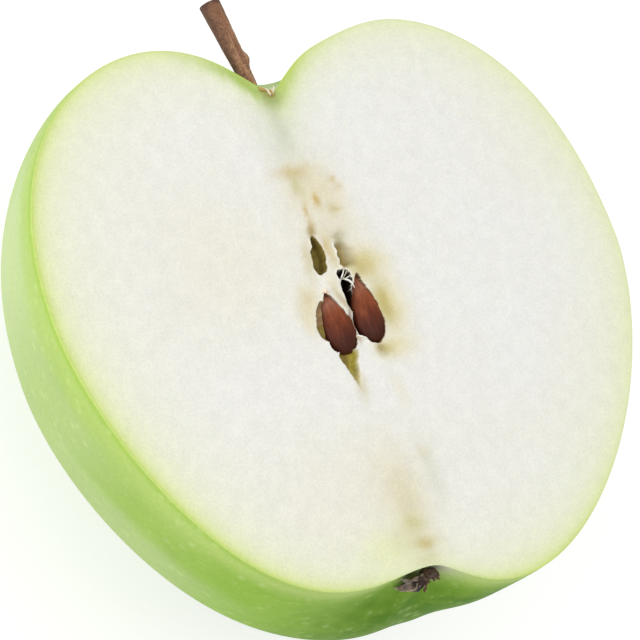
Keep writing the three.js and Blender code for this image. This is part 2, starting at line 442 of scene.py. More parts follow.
PEEL_YOUNG = colour(180, 204, 116)  # beside the cut
PEEL_FULL = colour(152, 184, 86)
PEEL_RICH = colour(140, 182, 60)  # on the lower left
PEEL_DEEP_AND_SHADE = colour(70, 119, 6)  # toward the calyx and underneath: the peel's own deeper green, darkened further as painted shade
PEEL_LINE = colour(150, 190, 62)  # just outside the cut edge on the left
PEEL_HOLLOW_BRIGHTENED = colour(248, 252, 236)  # in the stem's hollow: its pale green brightened to near white, painted light against the shade there
PEEL_LEFT_SHEEN = colour(214, 228, 184)  # painted sheen on the pale left side
PEEL_LOW_SHEEN = colour(212, 218, 190)  # painted sheen lower down on the left
PEEL_STREAK = colour(188, 214, 96)
PEEL_MOTTLE = colour(110, 150, 45)
LENTICEL_PALE = colour(208, 226, 156)
FELT_GREY = colour(206, 200, 182)  # beside the calyx

# Pale specks in two sizes: millimetres between them, their radius as a share of that, and strength.
LENTICELS = [(2.4, 0.32, 0.28), (1.3, 0.3, 0.16)]
LENTICEL_MIDDLE = 0.03  # share of the spacing over which a speck is at full strength


def peel_paint(rows):
    """Broad changes of the peel's green, with painted sheen on the left and painted shade underneath."""
    x, y, depth = rows[..., 0], rows[..., 1], -rows[..., 2]
    patches = 0.5 + 0.5 * rough(rows, 9, seed=11)
    below_cut = smooth(depth, 0.5, 7) * (0.7 + 0.3 * patches)
    # Painted sheen: paler toward the left, where the peel would catch the light.
    sheen_side = smooth(-x, 22, 36) * smooth(y, -6, 16) * smooth(depth, 1, 6)
    lower_left = smooth(-y, 24, 34) * smooth(depth, 1, 5)
    # The peel's own deeper green toward the calyx, with painted shade of the underside on it.
    calyx_green_and_shade = smooth(x, -19, -2) * smooth(-y, 10, 28) * smooth(x, 30, 10) * smooth(depth, 0.5, 8)
    beside_cut = bell(depth - 0.6, 0.5) * smooth(-x, 10, 25)
    side_sheen = smooth(-x, 30, 36) * smooth(depth, 2, 7)
    low_sheen = smooth(-x, 14, 28) * smooth(depth, 9.5, 14)
    paint = layered(
        PEEL_YOUNG,
        (PEEL_FULL, below_cut),
        (PEEL_LEFT_SHEEN, 0.5 * sheen_side),
        (PEEL_RICH, 0.9 * lower_left),
        (PEEL_DEEP_AND_SHADE, 0.9 * calyx_green_and_shade),
        # painted shade: darker still toward the lowest point
        (PEEL_DEEP_AND_SHADE, 0.35 * smooth(depth, 18, 42)),
        (PEEL_LINE, 0.6 * beside_cut),
        (PEEL_LOW_SHEEN, 0.27 * np.maximum(side_sheen, low_sheen)),
    )
    return end_marks(paint, x, y, depth)


def end_marks(paint, x, y, depth):
    """The stem's hollow made pale with painted light, the grey felt round the calyx, and a dark patch of
    painted shade beside the calyx.
    """
    # Painted light: the hollow's peel made near white, so that it stays pale in the hollow's shade.
    hollow = bell(np.hypot(x, depth - CORE_DEPTH), 5.5) * (y > 0)
    felt = bell(x - 1.1, 2.1) * bell(depth - 0.9, 1.9) * (y < 0)
    # Painted shade: a near-black patch where a dark hole shows beside the calyx.
    scar = bell(x + 2.1, 1.1) * bell(depth - 2.6, 1.0) * (y < 0)
    return layered(paint, (PEEL_HOLLOW_BRIGHTENED, hollow), (FELT_GREY, felt), (SEPAL_DARK, 0.97 * scar))


def peel_material():
    """Waxy green peel with pale lenticels."""
    skin = Finish("peel", Roughness=0.5, IOR=1.4, Specular_IOR_Level=0.06)
    streaks = skin.spread(skin.grain(2.2, 4, stretch=(1, 0.25, 1)), 0.3, 0.7, 0, 0.16)
    base = skin.mix(streaks, skin.paint(), PEEL_STREAK)
    mottle = skin.spread(skin.grain(0.5, 3), 0.3, 0.75, 0, 0.12)
    base = skin.mix(mottle, base, PEEL_MOTTLE)
    for spacing, radius, strength in LENTICELS:
        inputs = {"Vector": skin.place, "Scale": PER_METRE / spacing, "Randomness": 1.0}
        distance = skin.node("TexVoronoi", inputs).outputs["Distance"]
        speck = skin.spread(distance, radius, LENTICEL_MIDDLE, 0, strength)
        base = skin.mix(speck, base, LENTICEL_PALE)
    skin.set("Base Color", base)
    skin.relief((skin.grain(0.35, 2), 0.012), (skin.grain(3, 2), 0.06))
    return skin.material


def cut_edge_paint():
    """The peel's own cut edge is hardly darker than the flesh beside it."""
    return rim_paint(FLESH, np.zeros(SPOKES), bearings)


def make_peel(rows, inner):
    """A thin closed shell: up its inner side, over the cut edge and down its outer side."""
    hidden = np.concatenate([inner[:0:-HIDDEN_STEP], inner[:1]])
    rings = np.concatenate([hidden, rows])
    paint = peel_paint(rings)
    paint[len(hidden) - 1:len(hidden) + 1] = cut_edge_paint()
    body = loft(rings, paint)
    piece("peel", body, peel_material(), ["apple_half"], crease=40)


# ---------------- the opened core

FLESH = colour(242, 242, 238)
FLESH_CREAM = colour(240, 236, 218)
FLESH_WARM = colour(230, 220, 182)
FLESH_HAZE = colour(208, 203, 150)
FLESH_YELLOW = colour(236, 241, 190)
FLESH_GREEN = colour(203, 224, 116)
FLESH_DEEP_GREEN = colour(172, 198, 96)
TORN_WHITE = colour(250, 248, 236)
TAN = colour(208, 182, 112)
GREY_GREEN = colour(206, 210, 186)
WALL_OLIVE = colour(130, 113, 52)
WALL_GOLD = colour(203, 189, 122)
PALE_GOLD = colour(232, 223, 174)
WALL_YELLOW = colour(182, 168, 74)
# painted shadow to the left of the left pip
NOOK_SHADOW_BROWN = colour(150, 122, 84)
# painted shade under the flap's edge, and below the right pip
BAND_SHADE = colour(152, 130, 62)
BAND_HAZE = colour(182, 176, 136)
STRIP_CREAM = colour(218, 203, 158)
HALO_TAN = colour(170, 144, 78)
SEPTUM_SHADE = colour(196, 176, 146)
SEPTUM_SHADE_DEEP = colour(132, 108, 84)
# painted shade in the narrow gaps round the pips
BED_SHADE_BROWN = colour(118, 84, 56)
# painted shade for the deep crevice
CREVICE_SHADE_BLACK = colour(30, 16, 9)
SCAR_BROWN = colour(146, 122, 48)
NOTCH_GREEN = colour(150, 166, 80)

# A pit that the cut laid bare: its torn outline in the cut face, how deep it is, how wide its
# wall is and its colour. Where "near" and "far" are given, it fades out from one to the other.
Pit = namedtuple("Pit", "outline depth wall tone near far", defaults=(None, None))

# The beds' brown is painted shade in the gap round each pip.
LEFT_BED = Pit(
    [(-2.1, -1.35), (-2.55, -2.1), (-2.9, -3), (-3.2, -4), (-3.45, -5), (-3.6, -6), (-3.7, -7),
     (-3.8, -7.9), (-3.6, -8.6), (-2.9, -9.05), (-2, -9.2), (-1.1, -9.15), (-0.4, -8.85), (-0.05, -8.3),
     (0.25, -7.2), (0.42, -6.2), (0.05, -4.8), (-0.58, -3.4), (-1.2, -2.4), (-1.85, -1.7)],
    2.3, 0.2, BED_SHADE_BROWN)
RIGHT_BED = Pit(
    [(3, 0.4), (2.7, -0.1), (2.1, -1), (1.5, -2.2), (0.95, -3.4), (0.6, -4.8), (0.4, -6),
     (0.45, -7), (0.85, -7.6), (1.5, -8), (1.75, -8.4), (2.4, -8.75), (3.2, -8.75), (4, -8.1),
     (4.5, -7.2), (4.67, -5.8), (4.55, -4.2), (4.1, -2.6), (3.6, -1.1), (3.2, 0)],
    2.3, 0.2, BED_SHADE_BROWN)
# Painted shadow: the brown hollow left of the left pip.
LEFT_NOOK = Pit(
    [(-2.9, -2.2), (-3.7, -3), (-4.3, -4.2), (-4.7, -5.4), (-4.65, -6.5), (-4.3, -7.2), (-3.8, -7.8),
     (-3.2, -7.6), (-2.9, -6), (-2.3, -3)],
    0.45, 0.3, NOOK_SHADOW_BROWN)
OLIVE_NOOK = Pit(
    [(-4, -5.3), (-4.65, -5.5), (-4.6, -6.4), (-4.25, -7.1), (-3.5, -7.6), (-3.2, -5.6)],
    0.5, 0.25, WALL_OLIVE * 1.1)
LOWER_HOLLOW = Pit(
    [(-3.3, -8.7), (-2.85, -10.4), (-2.35, -11.8), (-1.95, -13.3), (-1.6, -15.6), (-1.3, -13.3),
     (-0.95, -11.8), (-0.5, -10.4), (0.1, -8.7)],
    1.2, 0.6, WALL_YELLOW, (-2, -10.8), (-1.4, -15.2))
LOWER_SHADE = Pit(
    [(-3.3, -8.7), (-2.8, -10.4), (-2.1, -12.2), (-1.5, -11), (-0.7, -8.8)],
    1.2, 0.8, WALL_OLIVE * 1.25)
# Painted shade: dark under the flap's edge, fading out to the right.
BAND = Pit(
    [(0.4, 1), (0.4, 3), (0.6, 4.3), (1.4, 4.9), (2.4, 4.9), (3.6, 4.3), (5.4, 3.4), (5.6, 2),
     (4.4, 1), (2.6, 0.9)],
    1, 1.15, BAND_SHADE, (1.5, 3), (4.9, 3.2))
HOLE = Pit(
    [(-1.5, 5.75), (-1, 5.6), (-0.65, 5), (-0.42, 4.2), (-0.3, 3.1), (-0.5, 2), (-0.95, 1.1),
     (-1.5, 0.7), (-2.1, 0.75), (-2.35, 1.5), (-2.2, 2.4), (-2.25, 3.3), (-1.95, 4.1), (-1.65, 4.25),
     (-1.8, 5.1)],
    1.35, 0.25, WALL_OLIVE)
# Painted near black: the shade deep in the crevice.
CREVICE = Pit(
    [(0.4, 0.95), (1.2, 1), (2.1, 0.9), (2.15, 0), (1.85, -1.1), (1.45, -2.2), (1.1, -3.3),
     (0.75, -4.4), (0.5, -4.2), (0.5, -2.8), (0.3, -1.7), (0.35, -0.9), (0.65, -0.45), (0.35, 0.1)],
    1.8, 0.2, CREVICE_SHADE_BLACK)
PITS = [BAND, LEFT_NOOK, OLIVE_NOOK, LOWER_HOLLOW, LOWER_SHADE, LEFT_BED, RIGHT_BED, HOLE, CREVICE]
TONE_LEAD = 0.05  # how far outside its outline a pit's colour starts
SHARP_WALL = 0.25  # a wall wider than this takes its colour on slowly
FRINGE = 0.13  # width of the torn white edge round the crevice

# The flap of flesh between the hole and the crevice, which lies over the band's edge.
FLAP = np.array([
    (-0.2, 5.9), (0.8, 6.0), (1.5, 5.3), (1.45, 4.8), (1.4, 4.2), (1.65, 3.5), (1.3, 2.9), (1.6, 2.3),
    (1.3, 1.8), (1.7, 1.15), (0.9, 0.95), (0.2, 1.1), (-0.3, 2.5), (-0.3, 4.5)])
FLAP_EDGE = 0.12


def rounded(outline):
    """A closed outline with its corners cut twice."""
    points = np.array(outline, float)
    for _ in range(2):
        onward = np.roll(points, -1, axis=0)
        cut = [0.75 * points + 0.25 * onward, 0.25 * points + 0.75 * onward]
        points = np.stack(cut, axis=1).reshape(-1, 2)
    return points


def inside(outline, x, y):
    """Distance in from a closed outline at each point, below 0 outside it."""
    nearest = np.full(x.shape, np.inf)
    crossed = np.zeros(x.shape, int)
    for start, end in zip(outline, np.roll(outline, -1, axis=0)):
        run = end - start
        along = np.clip(((x - start[0]) * run[0] + (y - start[1]) * run[1]) / (run @ run), 0, 1)
        nearest = np.minimum(nearest, np.hypot(x - start[0] - along * run[0], y - start[1] - along * run[1]))
        if run[1]:
            level = (start[1] > y) != (end[1] > y)
            crossed += level & (x < start[0] + (y - start[1]) * run[0] / run[1])
    return np.where(crossed % 2, nearest, -nearest)


def strength_left(pit, x, y):
    """1 near a pit's start, falling to 0 at its far end."""
    if pit.near is None:
        return np.ones_like(x)
    near = np.array(pit.near)
    run = np.array(pit.far) - near
    return 1 - smooth(((x - near[0]) * run[0] + (y - near[1]) * run[1]) / (run @ run), 0, 1)


def frayed(x, y):
    """The places shifted a little, so that edges drawn through them look torn."""
    flat = stacked(x, y, 0)
    dx = 0.1 * noise(flat, 0.75, 21) + 0.06 * noise(flat, 0.28, 22)
    dy = 0.1 * noise(flat, 0.75, 23) + 0.06 * noise(flat, 0.28, 24)
    return x + dx, y + dy


# A soft spot of colour: place, half width and half height, colour, strength, lean in degrees.
Spot = namedtuple("Spot", "x y wide high tone strength lean", defaults=(0,))

SPOTS = [
    Spot(-0.9, 19, 3, 6, GREY_GREEN, 0.4),  # the core line below the stem
    Spot(-0.5, 20.5, 1, 4.5, GREY_GREEN, 0.45),
    Spot(0.4, 11.6, 3.6, 3.4, FLESH_WARM, 0.75),
    Spot(3.4, 10, 1.8, 4, FLESH_WARM, 0.5),
    Spot(1, 6, 4.6, 4.2, FLESH_WARM, 0.45),
    Spot(-0.8, 14, 2.3, 0.9, TAN, 0.65),  # vascular marks above the core
    Spot(-1, 12.3, 0.7, 1.5, FLESH_HAZE, 0.75),
    Spot(1, 10.4, 0.55, 0.9, TAN, 0.95, -8),
    Spot(-0.9, 9.1, 0.38, 0.9, TAN, 0.75, -8),
    Spot(4.2, 12.7, 0.6, 0.5, TAN, 0.6, 30),
    Spot(4.6, 11.4, 0.6, 0.6, TAN, 0.35),
    Spot(3.1, 8.8, 1, 0.6, WALL_GOLD, 0.6),
    Spot(-0.8, 7.3, 0.5, 1, TAN, 0.55),
    Spot(-1.1, 6.2, 0.5, 0.9, HALO_TAN, 0.95, -12),
    Spot(0.5, 3.4, 0.9, 2.5, STRIP_CREAM, 0.9),  # the strip between the hole and the flap
    Spot(-1.8, 4.7, 0.14, 0.5, TORN_WHITE, 0.8),
    Spot(-1.3, 0.1, 0.9, 0.4, TORN_WHITE, 0.5),
    Spot(0.25, 4.4, 0.25, 1.1, TAN, 0.5, 8),
    Spot(-2.8, 2.8, 0.8, 2.4, WALL_GOLD, 0.6, -8),
    Spot(-4.7, -2.3, 1.5, 2.6, FLESH_WARM, 0.95, -15),
    Spot(-4.9, -2.4, 0.8, 1.4, TAN, 0.25, -15),
    Spot(-5.4, -4.6, 1.2, 2, FLESH_WARM, 0.7),
    Spot(-0.5, -1.6, 0.7, 2.2, FLESH_WARM, 0.8, 10),
    Spot(-0.15, -2.7, 0.4, 1.3, SEPTUM_SHADE, 0.8, 22),  # beside the left pip
    Spot(0.3, -7.6, 0.35, 0.6, SEPTUM_SHADE, 0.8),
    # painted shade between the pips
    Spot(0.4, -5.1, 0.35, 1.5, SEPTUM_SHADE_DEEP, 0.95),
    Spot(5, 1.4, 3, 2.2, PALE_GOLD, 0.85),  # the chamber's lining on the slope
    Spot(3.9, 1.2, 2, 1.6, WALL_GOLD, 0.85),
    Spot(1.9, 4.9, 0.6, 0.7, BAND_HAZE, 0.85),
    Spot(2.7, 5.2, 1, 0.9, BAND_HAZE, 0.4),
    Spot(6, -4.3, 2.4, 3.4, PALE_GOLD, 0.9),
    Spot(5.3, -4, 1.3, 2.8, WALL_GOLD, 1),
    Spot(5.2, -9.5, 2.6, 1.4, PALE_GOLD, 0.7),
    Spot(3.6, -9.5, 1.3, 0.9, WALL_GOLD, 0.8),
    # painted shadow below the right pip
    Spot(3, -9.4, 0.6, 0.6, BAND_SHADE, 0.6, -20),
    Spot(-1.5, -12.8, 0.7, 2.4, WALL_GOLD, 0.5),
    Spot(-14, 3, 9, 11, FLESH_CREAM, 0.6),
    Spot(-8, -26, 10, 8, FLESH_CREAM, 0.6),
    Spot(3.6, -15, 0.9, 2.4, FLESH_CREAM, 0.7),
    Spot(-0.9, -27.5, 3.6, 6.2, FLESH_WARM, 0.58),  # the core line toward the calyx
    Spot(-0.8, -29, 1.9, 4.8, FLESH_HAZE, 0.3),
    Spot(-1, -31, 1.5, 1.1, FLESH_HAZE, 0.8),
    Spot(-0.4, -33.4, 2, 0.9, WALL_GOLD, 0.75),
    Spot(-0.3, -33.6, 0.8, 0.5, TAN, 0.5),
    Spot(-0.8, -35.4, 2.2, 1, FLESH_HAZE, 0.5),
    Spot(-5.5, -33.5, 3.4, 2.6, FLESH_YELLOW, 0.8),
    Spot(-3.4, -32.6, 1.8, 1.8, FLESH_HAZE, 0.3),
    Spot(4, -25.5, 1.2, 3.5, GREY_GREEN, 0.4),
    Spot(3.6, -22.8, 1, 0.8, FLESH_WARM, 0.5, 20),
    Spot(-0.3, 23.9, 1, 1.2, NOTCH_GREEN, 0.6),  # under the stem's hollow
    Spot(-1.1, 25.1, 0.5, 0.4, SCAR_BROWN, 0.8, -30),
    Spot(-0.35, 24.5, 0.5, 0.45, SCAR_BROWN, 0.85, 20),
]


def spot_strength(spot, x, y):
    """A soft oval, as strong as the spot says in its middle."""
    cos, sin = cos_sin(spot.lean)
    across = (x - spot.x) * cos + (y - spot.y) * sin
    along = (y - spot.y) * cos - (x - spot.x) * sin
    return spot.strength * np.exp(-((across / spot.wide) ** 2) - (along / spot.high) ** 2)


NOTCH_BEARING = 88  # of the green round the stem's hollow
SHOULDER_BEARING = 118  # of the left shoulder, where the green thins out
BASIN_BEARING = 268  # of the calyx
PALE_BEARING = 25  # of the side where the flesh is pale right to the peel


def rim_tint(distance, bearing):
    """Strength of the broad yellow, the narrow green and the notch's deep green under the peel.

    The green is strongest beside the stem's hollow and almost missing on the right and at the calyx.
    """
    at_notch = bell(wrapped(bearing - NOTCH_BEARING), 16)
    at_basin = bell(wrapped(bearing - BASIN_BEARING), 12)
    on_shoulder = bell(wrapped(bearing - SHOULDER_BEARING), 13)
    on_left = smooth(np.cos(np.radians(bearing - PALE_BEARING)), 0.6, -0.2)
    yellow = (0.8 + 0.2 * on_left) * (1 - 0.5 * at_basin) * np.exp(-distance / (4.3 - 0.4 * at_notch))
    green_width = 0.75 + 1.55 * at_notch
    on_rim = (0.12 + 0.7 * on_left) * (1 - 0.7 * at_basin) * (1 - 0.4 * on_shoulder)
    green = np.maximum(on_rim, 1.15 * at_notch)
    deep = bell(wrapped(bearing - NOTCH_BEARING - 7), 10) * bell(distance - 0.7, 1.5)
    return yellow, green * np.exp(-distance / green_width), deep


def rim_paint(paint, distance, bearing):
    """The flesh's colours with the tints under the peel."""
    tones = (FLESH_YELLOW, FLESH_GREEN, FLESH_DEEP_GREEN)
    return layered(paint, *zip(tones, rim_tint(distance, bearing)))


def face_paint(x, y, distance, bearing):
    """The cut face's colour."""
    flat = stacked(x, y, 0)
    cream = 0.5 + 0.5 * rough(flat, 11, 31)
    streaks = 0.45 * noise(flat, (0.4, 3.0, 1), 38) * smooth(y, 14, 22) * smooth(np.abs(x), 16, 8)
    paint = blend(FLESH, FLESH_CREAM, 0.25 * cream)
    paint = rim_paint(paint, np.maximum(distance + streaks, 0), bearing)
    shifted_x = x + 0.28 * noise(flat, 1.3, 32) + 0.12 * noise(flat, 0.4, 34)
    shifted_y = y + 0.28 * noise(flat, 1.3, 33) + 0.12 * noise(flat, 0.4, 35)
    for spot in SPOTS:
        paint = blend(paint, spot.tone, spot_strength(spot, shifted_x, shifted_y))
    return pit_paint(paint, flat, x, y)


def pit_paint(paint, flat, x, y):
    """The pits' walls and floors, several of them in painted shade, with the flap over them and its torn
    white edge.
    """
    plain = paint
    torn = frayed(x, y)
    patches = 0.5 + 0.5 * rough(flat, 0.5, 37)
    for pit in PITS:
        within = inside(rounded(pit.outline), *torn)
        tone = pit.tone * (0.82 + 0.36 * patches[..., None])
        taken_on = smooth(within, -TONE_LEAD, max(0, pit.wall - SHARP_WALL))
        paint = blend(paint, tone, taken_on * strength_left(pit, x, y))
    on_flap = inside(FLAP, *torn)
    paint = blend(paint, plain, smooth(on_flap, 0, FLAP_EDGE))
    flap_rim = 0.9 * smooth(x, 0.7, 1.1) * smooth(y, 5.2, 4.4) * bell(on_flap - 0.2, 0.22)
    crevice_rim = bell(inside(rounded(CREVICE.outline), *torn) + TONE_LEAD + FRINGE, FRINGE)
    crevice_rim = 0.6 * crevice_rim * smooth(y, -0.8, 0.4)
    return blend(paint, TORN_WHITE, np.maximum(flap_rim, crevice_rim) * smooth(patches, 0.1, 0.5))


def pit_depth(x, y):
    """How far the pits lie below the cut face at each point."""
    torn = frayed(x, y)
    deepest = np.zeros_like(x)
    for pit in PITS:
        within = inside(rounded(pit.outline), *torn)
        deepest = np.maximum(deepest, pit.depth * smooth(within, 0, pit.wall) * strength_left(pit, x, y))
    return deepest * (1 - smooth(inside(FLAP, *torn), 0, FLAP_EDGE))


def face_rings(edge):
    """Rings over the cut face from the core's middle to the peel, with relief and colour."""
    reach = np.hypot(edge[:, 0], edge[:, 1])
    direction = edge[:, :2] / reach[:, None]
    core = np.linspace(CORE_RADIUS / CORE_RINGS, CORE_RADIUS, CORE_RINGS)[:, None]
    share = np.linspace(0, 1, OUTER_RINGS + 1)[1:, None]
    outer = CORE_RADIUS + (reach - CORE_RADIUS) * (1 - (1 - share) ** OUTER_GATHER)
    radius = np.concatenate([np.broadcast_to(core, (CORE_RINGS, SPOKES)), outer])
    x = radius * direction[:, 0]
    y = radius * direction[:, 1]
    distance = reach - radius
    flat = stacked(x, y, 0)
    inland = smooth(distance, 0, 1.5)
    grain = 0.03 * rough(flat, 1.6, 41) + 0.04 * rough(flat, 8, 45)
    z = grain * inland - pit_depth(x, y)
    return stacked(x, y, z), face_paint(x, y, distance, bearings)


def flesh_material():
    """Moist white flesh with fine grain."""
    flesh = Finish("flesh", Roughness=0.62, IOR=1.38, Specular_IOR_Level=0.3)
    flesh.set("Subsurface Weight", 0.12)
    flesh.set("Subsurface Radius", (1.0, 0.9, 0.6))
    flesh.set("Subsurface Scale", 0.0003)
    cells = flesh.spread(flesh.grain(0.32, 2), 0.3, 0.7, 0.965, 1.025)
    patches = flesh.spread(flesh.grain(1.8, 4), 0.3, 0.7, 0.975, 1.015)
    flesh.show_paint(flesh.product(cells, patches))
    flesh.relief((flesh.grain(0.3, 2), 0.03), (flesh.grain(1.2, 3), 0.05))
    return flesh.material


def make_flesh(inner):
    """One closed body: over the cut face, then down under the peel."""
    face, paint = face_rings(inner[0])
    below = inner[HIDDEN_STEP::HIDDEN_STEP]
    plain = np.broadcast_to(FLESH_GREEN, below.shape)
    body = loft(np.concatenate([face, below]), np.concatenate([paint, plain]))
    piece("flesh", body, flesh_material(), ["apple_half"])


# A strand of torn flesh: the points it runs near, how thick it is and its colour.
Strand = namedtuple("Strand", "path radius tone")

FIBRE_CREAM = colour(240, 230, 200)
FIBRE_TAN = colour(190, 160, 96)
FIBRE_PINK = colour(250, 228, 208)
STRANDS = {
    "crevice": [
        Strand([(1.55, 1.1, 0), (1.3, 0.5, -0.2), (0.85, 0, -0.2), (0.4, -0.6, 0)], 0.09, TORN_WHITE),
        Strand([(2.25, 0.2, 0), (1.8, 0, -0.2), (1.4, -0.15, -0.2), (0.7, -0.2, 0)], 0.07, TORN_WHITE),
        Strand([(2, 1, 0), (1.75, 0.5, -0.3), (1.4, 0.2, -0.3), (1.1, -0.1, -0.2)], 0.06, FIBRE_CREAM),
        Strand([(1.2, -0.2, -0.2), (1.7, -0.4, -0.1), (2, -0.9, 0), (2.1, -1.5, 0)], 0.14, TORN_WHITE),
    ],
    "pips": [
        Strand([(-2.5, -1.55, 0), (-2.2, -1.3, 0.15), (-1.9, -1.45, 0.15), (-1.65, -1.85, 0)],
               0.27, FIBRE_PINK),
        Strand([(0.25, -7.4, 0), (0.7, -7.6, 0.05), (1.1, -7.8, 0.05), (1.45, -8, 0)], 0.14, TORN_WHITE),
    ],
    "notch": [
        Strand([(-1.6, 25.6, 0), (-1.1, 25.2, 0.1), (-0.6, 24.9, 0.1)], 0.2, FIBRE_TAN),
        Strand([(-0.9, 25.5, -0.1), (-0.5, 25, 0.12), (-0.25, 24.3, 0.05)], 0.17, FIBRE_CREAM),
        Strand([(-0.4, 25.3, -0.2), (-0.1, 24.9, 0.05), (0, 24.1, 0.05)], 0.15, FIBRE_TAN),
        Strand([(0.3, 25.3, -0.3), (0.2, 24.9, 0), (0.15, 24.5, 0.06)], 0.15, FIBRE_CREAM),
        Strand([(0.7, 25.7, -0.2), (0.5, 25.2, 0), (0.35, 24.8, 0.04)], 0.09, FIBRE_CREAM),
    ],
}
STRAND_STEPS = 24


def curve_through(points):
    """A smooth path near a few points."""
    path = np.array(points, float)
    share = np.linspace(0, len(path) - 1, STRAND_STEPS)
    line = stacked(*(np.interp(share, np.arange(len(path)), column) for column in path.T))
    for _ in range(4):
        line[1:-1] = (line[:-2] + 2 * line[1:-1] + line[2:]) / 4
    return line


def make_strands():
    """Torn flesh: strands across the crevice, and flakes at the pips and the stem's hollow."""
    material = flesh_material()
    swell = 0.35 + 0.65 * np.sin(np.pi * np.linspace(0, 1, STRAND_STEPS))
    for place, strands in STRANDS.items():
        bodies = []
        for seed, strand in enumerate(strands, start=131):
            path = curve_through(strand.path)
            radii = strand.radius * swell * (1 + 0.5 * noise(path, 0.25, seed))
            bodies.append(thread(path, radii, strand.tone))
        piece(place + "_fibres", join(bodies), material, ["apple_half"], crease=80)


# ---------------- pips

Pip = namedtuple("Pip", "tip end width tip_tone")

PIP_TAPER = (0.75, 0.38)
PIP_LENGTH = 8  # about; only the noise on it needs this
PIP_THICKNESS = 2.3
PIP_DEPTH = 0.95
PIP_RINGS = 110
PIP_TURNS = 72
PIPS = {
    "pip_left": Pip((-1.6, -0.95), (-1.1, -9.2), 4.35, colour(236, 208, 184)),
    "pip_right": Pip((3.4, 0.7), (3.1, -8.5), 4.2, colour(176, 112, 72)),
}
PIP_RED = colour(142, 76, 42)
PIP_BROWN = colour(100, 44, 24)
PIP_DARK = colour(52, 26, 16)
# painted sheen near the pip's tip
PIP_SHEEN = colour(190, 136, 116)
# painted highlight along one side of the pip
PIP_HIGHLIGHT_ORANGE = colour(168, 88, 44)


def pip_body(pip, seed):
    """A flattened teardrop, pointed at its tip."""
    tip, end = np.array(pip.tip), np.array(pip.end)
    run = end - tip
    side = np.array([-run[1], run[0]]) / np.hypot(*run)
    along = gathered(PIP_RINGS)
    turn = around(PIP_TURNS)
    swell = taper_at(along, *PIP_TAPER)
    across = np.cos(turn) * swell
    up = np.sin(turn) * swell
    straight = stacked(across * pip.width / 2, along * PIP_LENGTH, up)
    ridges = 1 + 0.012 * rough(straight, (0.5, 3.0, 0.5), seed)
    x = tip[0] + run[0] * along + side[0] * across * ridges * pip.width / 2
    y = tip[1] + run[1] * along + side[1] * across * ridges * pip.width / 2
    z = -PIP_DEPTH + up * ridges * PIP_THICKNESS / 2
    return loft(stacked(x, y, z), pip_paint(pip, straight, along, seed))


def pip_paint(pip, straight, along, seed):
    """Reddish along the middle, near black at the broad end, pale at the very tip, with a painted sheen near
    the tip and a painted orange highlight along one side.
    """
    blotch = 0.5 + 0.5 * rough(straight, (1.2, 2.4, 1.2), seed + 5)
    sheen = bell(along - 0.2, 0.13) * (0.3 + 0.7 * blotch)
    highlight_band = bell(along - 0.42, 0.14) * bell(straight[..., 0] - 0.5, 0.9) * (0.4 + 0.6 * blotch)
    frayed_tip = along + 0.02 * noise(straight, 0.4, seed + 9)
    return layered(
        PIP_RED,
        (PIP_BROWN, 0.5 * blotch + 0.8 * smooth(along + 0.15 * blotch, 0.3, 0.8)),
        (PIP_DARK, 0.7 * smooth(along + 0.12 * blotch, 0.6, 1.0)),
        (PIP_SHEEN, 0.5 * sheen),
        (PIP_HIGHLIGHT_ORANGE, 0.55 * highlight_band),
        (pip.tip_tone, smooth(frayed_tip, 0.075, 0.04)),
    )


def pip_material():
    """Seed coat: fine streaks under a soft sheen."""
    coat = Finish("pip", Roughness=0.45, IOR=1.45, Specular_IOR_Level=0.22)
    streaks = coat.grain(0.28, 4, stretch=(1, 0.18, 1))
    coat.show_paint(coat.spread(streaks, 0.3, 0.7, 0.78, 1.25))
    coat.set("Roughness", coat.spread(coat.grain(0.6), 0.3, 0.7, 0.38, 0.55))
    coat.relief((streaks, 0.02), (coat.grain(0.12, 2), 0.006))
    return coat.material


def make_pips():
    material = pip_material()
    for seed, (node, pip) in enumerate(PIPS.items(), start=51):
        piece(node + "_coat", pip_body(pip, seed), material, [node])


# ---------------- stem

STEM_FOOT = np.array([-0.3, 22.9, -3])
STEM_END = np.array([-2.45, 38.55, -3])
STEM_LENGTH = np.linalg.norm(STEM_END - STEM_FOOT)
STEM_FOOT_RADIUS = 0.74
STEM_END_RADIUS = 1.33
STEM_BOW = 0.15
Bud = namedtuple("Bud", "along rise length turn spread")
BUD = Bud(0.49, 0.42, 0.055, 25, 38)
STEM_RINGS = 190
STEM_TURNS = 72
STEM_CUT_RINGS = 12

BARK = colour(138, 95, 68)
BARK_TAN = colour(194, 150, 112)
BARK_DARK = colour(74, 48, 38)
BARK_GREY = colour(176, 164, 148)
CUT_DARK = colour(52, 34, 28)
STEM_FACING = 110  # turn of the side that the light falls on


def stem_axes():
    """Unit vectors across the stem: sideways (+X) and up."""
    ahead = (STEM_END - STEM_FOOT) / STEM_LENGTH
    sideways = np.array([1.0, 0, 0]) - ahead[0] * ahead
    sideways /= np.linalg.norm(sideways)
    return sideways, np.cross(sideways, ahead)


def stem_radius(along, turn):
    """Radius with the bud scar on it."""
    radius = STEM_FOOT_RADIUS + (STEM_END_RADIUS - STEM_FOOT_RADIUS) * along
    bud = BUD.rise * bell(along - BUD.along, BUD.length) * bell(wrapped(turn - BUD.turn), BUD.spread)
    return radius + bud


def bark_relief(place, along):
    """Ridges along the stem, wrinkles round it below the bud, and pits."""
    ridges = 0.05 * rough(place, (0.45, 0.45, 3.5), 61)
    wrinkles = 0.035 * rough(place, (1.6, 1.6, 0.28), 65) * smooth(along, 0.55, 0.4)
    pits = 0.03 * noise(place, 0.35, 68)
    return ridges + wrinkles + pits


